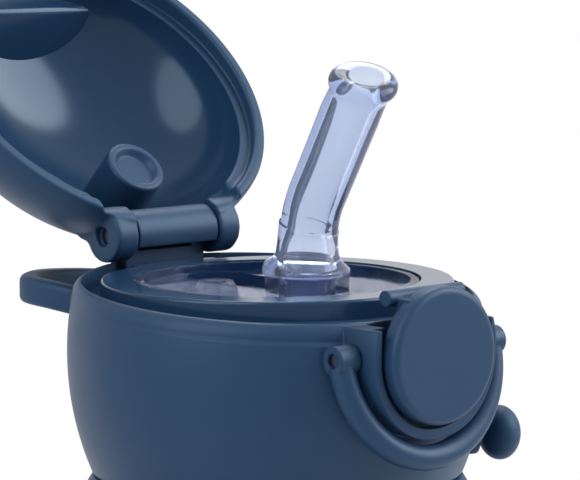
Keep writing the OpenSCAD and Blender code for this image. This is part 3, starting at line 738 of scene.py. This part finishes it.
class BOTTLE_OT_latch(bpy.types.Operator):
    """Finishes the release button, the lock bail and their pins and springs"""

    bl_idname = "bottle.latch"
    bl_label = "Latch"

    def execute(self, context):
        dress("release_button", finish("satin_navy"))
        dress("lock_bail", finish("satin_navy"))
        for node in ("hinge_pin", "lid_spring", "button_pin", "bail_pins"):
            dress(node, finish("drawn_steel"))
        self.coil()
        return {"FINISHED"}

    def coil(self):
        """The button's spring, copied from the frame's spring and tied to the cap."""
        spring = frame["nodes"]["button_spring"]
        obj = bpy.data.objects.new("button_coil", spring.data.copy())
        bpy.context.collection.objects.link(obj)
        obj.matrix_world = spring.matrix_world
        settle(obj)
        place(obj, "cap", "steel", finish("drawn_steel"), "button_spring")
        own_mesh(obj)


class BOTTLE_OT_strap(bpy.types.Operator):
    """Models the carry strap and its ball-headed stud"""

    bl_idname = "bottle.strap"
    bl_label = "Carry strap"

    def execute(self, context):
        self.band()
        self.stud()
        return {"FINISHED"}

    def band(self):
        """The strap, drawn as a curve along its route with a rounded flat section."""
        pts = [Vector(p) * MM + Vector((0, 0, TOP)) for p in STRAP_ROUTE]
        line = []
        for k in range(len(pts) - 1):
            a, b, c, d = (pts[max(0, min(len(pts) - 1, k + j))] for j in (-1, 0, 1, 2))
            for step in range(8):
                t = step / 8
                line.append(0.5 * (2 * b + (c - a) * t + (2 * a - 5 * b + 4 * c - d) * t * t
                                   + (3 * b - a - 3 * c + d) * t ** 3))
        line.append(pts[-1])
        w, h = 1.8 * MM, 2.5 * MM
        section = self.outline("strap_section", fillet([(w, 0), (w, h), (-w, h), (-w, -h), (w, -h), (w, -0.1 * MM)],
                                                       1.3 * MM))
        obj = self.outline("carry_strap_soft", line, closed=False)
        obj.data.twist_mode = "Z_UP"
        obj.data.bevel_mode = "OBJECT"
        obj.data.bevel_object = section
        obj.data.use_fill_caps = True
        activate(obj)
        bpy.ops.object.convert(target="MESH")
        obj = bpy.context.object
        bpy.data.objects.remove(section)
        close_mesh(obj, 40)
        near, far, eye = 0.0358, 0.0374, 3.7 * MM
        tab = self.radial(turned("tab", fillet([(0, near), (eye, near), (eye, far), (0, far)], 0.4 * MM), sides=48))
        arm = self.radial(block("arm", (-2.5 * MM, 0, near), (2.5 * MM, 6.5 * MM, far)))
        for extra in (arm, tab):
            cut_with(obj, extra, "UNION")
        close_mesh(obj, 40)
        place(obj, "cap", "strap_navy", finish("soft_navy"), "carry_strap")

    def outline(self, name, points, closed=True):
        curve = bpy.data.curves.new(name, "CURVE")
        curve.dimensions = "3D" if not closed else "2D"
        spline = curve.splines.new("POLY")
        spline.points.add(len(points) - 1)
        for point, p in zip(spline.points, points):
            point.co = (*p, *(0,) * (3 - len(p)), 1)
        spline.use_cyclic_u = closed
        obj = bpy.data.objects.new(name, curve)
        bpy.context.collection.objects.link(obj)
        return obj

    def radial(self, obj):
        """Turns a piece drawn along Z to lie along the stud's axis."""
        obj.matrix_world = (Matrix.Translation((0, 0, TOP - STUD_DROP)) @ Matrix.Rotation(STUD_ANGLE, 4, "Z")
                            @ Matrix.Rotation(math.pi / 2, 4, "Y"))
        settle(obj)
        return obj

    def stud(self):
        low, middle, tall, wide = 31.6 * MM, 42 * MM, 3.8 * MM, 5 * MM
        neck = 1.8 * MM
        start = -math.acos(neck / wide)
        head = [(wide * math.cos(a), middle + tall * math.sin(a))
                for a in (start + (math.pi / 2 - start) * k / 24 for k in range(25))]
        obj = self.radial(turned("strap_stud_soft", [(0, low), (neck, low)] + head, sides=64))
        place(obj, "cap", "strap_navy", finish("soft_navy"), "strap_stud")


class BOTTLE_OT_stage(bpy.types.Operator):
    """Sets up the camera, the floor, the light and the white surroundings"""

    bl_idname = "bottle.stage"
    bl_label = "Stage"

    def execute(self, context):
        scene = context.scene
        scene.view_settings.view_transform = "Standard"
        self.camera(scene)
        self.floor()
        self.world(scene)
        self.lamp("key_light", (0.72, -0.55, 0.7), (0, 0, 0.14), (0.8, 1.0), 16)
        self.lamp("side_light", (-0.85, -0.08, 0.75), (0, 0, 0.15), (0.8, 1.3), 10)
        self.lamp("rim_light", (0.5, 0.5, 1.1), (0, 0, 0.15), (0.6, 0.6), 5)
        return {"FINISHED"}

    def camera(self, scene):
        azimuth, elevation, reach = math.radians(-41), math.radians(6.92), 0.566
        target = Vector((0.0022, -0.0009, TOP + 0.0066))
        back = Vector((math.sin(azimuth) * math.cos(elevation), -math.cos(azimuth) * math.cos(elevation),
                       math.sin(elevation)))
        deselect()
        bpy.ops.object.camera_add(location=target + back * reach)
        cam = bpy.context.object
        cam.name = "photo_camera"
        cam.rotation_mode = "QUATERNION"
        cam.rotation_quaternion = (-back).to_track_quat("-Z", "Y")
        sensor, pixels_per_mm, photo_width = 36, 5.63, 580
        cam.data.sensor_width = sensor
        cam.data.lens = sensor * pixels_per_mm * (reach / MM) / photo_width
        cam.data.clip_start, cam.data.clip_end = 0.01, 20
        scene.camera = cam

    def floor(self):
        deselect()
        bpy.ops.mesh.primitive_circle_add(vertices=96, radius=0.55, fill_type="NGON", location=(0, 0, -0.0004))
        obj = bpy.context.object
        obj.name = "floor"
        settle(obj)
        mat, tree, bsdf = plain_material("pale_floor")
        bsdf.inputs["Base Color"].default_value = (0.86, 0.86, 0.87, 1)
        bsdf.inputs["Roughness"].default_value = 0.7
        link = tree.links.new
        coords = node_of(tree, "ShaderNodeTexCoord")
        length = node_of(tree, "ShaderNodeVectorMath", operation="LENGTH")
        fade = node_of(tree, "ShaderNodeMapRange", interpolation_type="SMOOTHSTEP")
        fade.inputs["From Min"].default_value = 0.16
        fade.inputs["From Max"].default_value = 0.5
        glow = node_of(tree, "ShaderNodeEmission")
        glow.inputs["Color"].default_value = (1, 1, 1, 1)
        mix = node_of(tree, "ShaderNodeMixShader")
        out = tree.nodes["Material Output"]
        link(coords.outputs["Object"], length.inputs[0])
        link(length.outputs["Value"], fade.inputs["Value"])
        link(fade.outputs["Result"], mix.inputs["Fac"])
        link(bsdf.outputs["BSDF"], mix.inputs[1])
        link(glow.outputs["Emission"], mix.inputs[2])
        link(mix.outputs["Shader"], out.inputs["Surface"])
        obj.data.materials.append(mat)

    def world(self, scene):
        world = bpy.data.worlds.new("studio")
        scene.world = world
        world.use_nodes = True
        tree = world.node_tree
        tree.nodes.clear()
        link = tree.links.new
        path = node_of(tree, "ShaderNodeLightPath")
        seen = node_of(tree, "ShaderNodeMath", operation="MAXIMUM")
        clear = node_of(tree, "ShaderNodeMath", operation="MAXIMUM")
        white = node_of(tree, "ShaderNodeBackground")
        white.inputs["Color"].default_value = (1, 1, 1, 1)
        soft = node_of(tree, "ShaderNodeBackground")
        soft.inputs["Color"].default_value = (0.85, 0.9, 1, 1)
        soft.inputs["Strength"].default_value = 0.4
        mix = node_of(tree, "ShaderNodeMixShader")
        out = node_of(tree, "ShaderNodeOutputWorld")
        link(path.outputs["Is Camera Ray"], seen.inputs[0])
        link(path.outputs["Is Transmission Ray"], seen.inputs[1])
        link(seen.outputs["Value"], clear.inputs[0])
        link(path.outputs["Is Glossy Ray"], clear.inputs[1])
        link(clear.outputs["Value"], mix.inputs["Fac"])
        link(soft.outputs["Background"], mix.inputs[1])
        link(white.outputs["Background"], mix.inputs[2])
        link(mix.outputs["Shader"], out.inputs["Surface"])

    def lamp(self, name, place_at, aim, size, power):
        deselect()
        bpy.ops.object.light_add(type="AREA", location=place_at)
        lamp = bpy.context.object
        lamp.name = name
        lamp.data.energy = power
        lamp.data.shape = "ELLIPSE"
        lamp.data.size, lamp.data.size_y = size
        lamp.rotation_mode = "QUATERNION"
        lamp.rotation_quaternion = (Vector(aim) - Vector(place_at)).to_track_quat("-Z", "Y")


class BOTTLE_PT_panel(bpy.types.Panel):
    """Lists the bottle's steps and settings"""

    bl_idname = "BOTTLE_PT_panel"
    bl_label = "Folding Water Bottle"
    bl_space_type = "VIEW_3D"
    bl_region_type = "UI"
    bl_category = "Bottle"

    def draw(self, context):
        for step in STEPS:
            self.layout.operator(step.bl_idname)
        for group in (context.scene.bottle_sizes, context.scene.bottle_colours):
            for key in group.bl_rna.properties.keys():
                if key not in {"rna_type", "name"}:
                    self.layout.prop(group, key)


STEPS = (BOTTLE_OT_stage, BOTTLE_OT_body, BOTTLE_OT_neck, BOTTLE_OT_collar, BOTTLE_OT_spout, BOTTLE_OT_lid,
         BOTTLE_OT_latch, BOTTLE_OT_strap)
CLASSES = (BottleSizes, BottleColours, *STEPS, BOTTLE_PT_panel)


def register():
    for cls in CLASSES:
        bpy.utils.register_class(cls)
    bpy.types.Scene.bottle_sizes = bpy.props.PointerProperty(type=BottleSizes)
    bpy.types.Scene.bottle_colours = bpy.props.PointerProperty(type=BottleColours)


def unregister():
    del bpy.types.Scene.bottle_colours
    del bpy.types.Scene.bottle_sizes
    for cls in reversed(CLASSES):
        bpy.utils.unregister_class(cls)


def main():
    register()
    for step in STEPS:
        group, name = step.bl_idname.split(".")
        getattr(getattr(bpy.ops, group), name)()
    deselect()


if __name__ == "__main__":
    main()
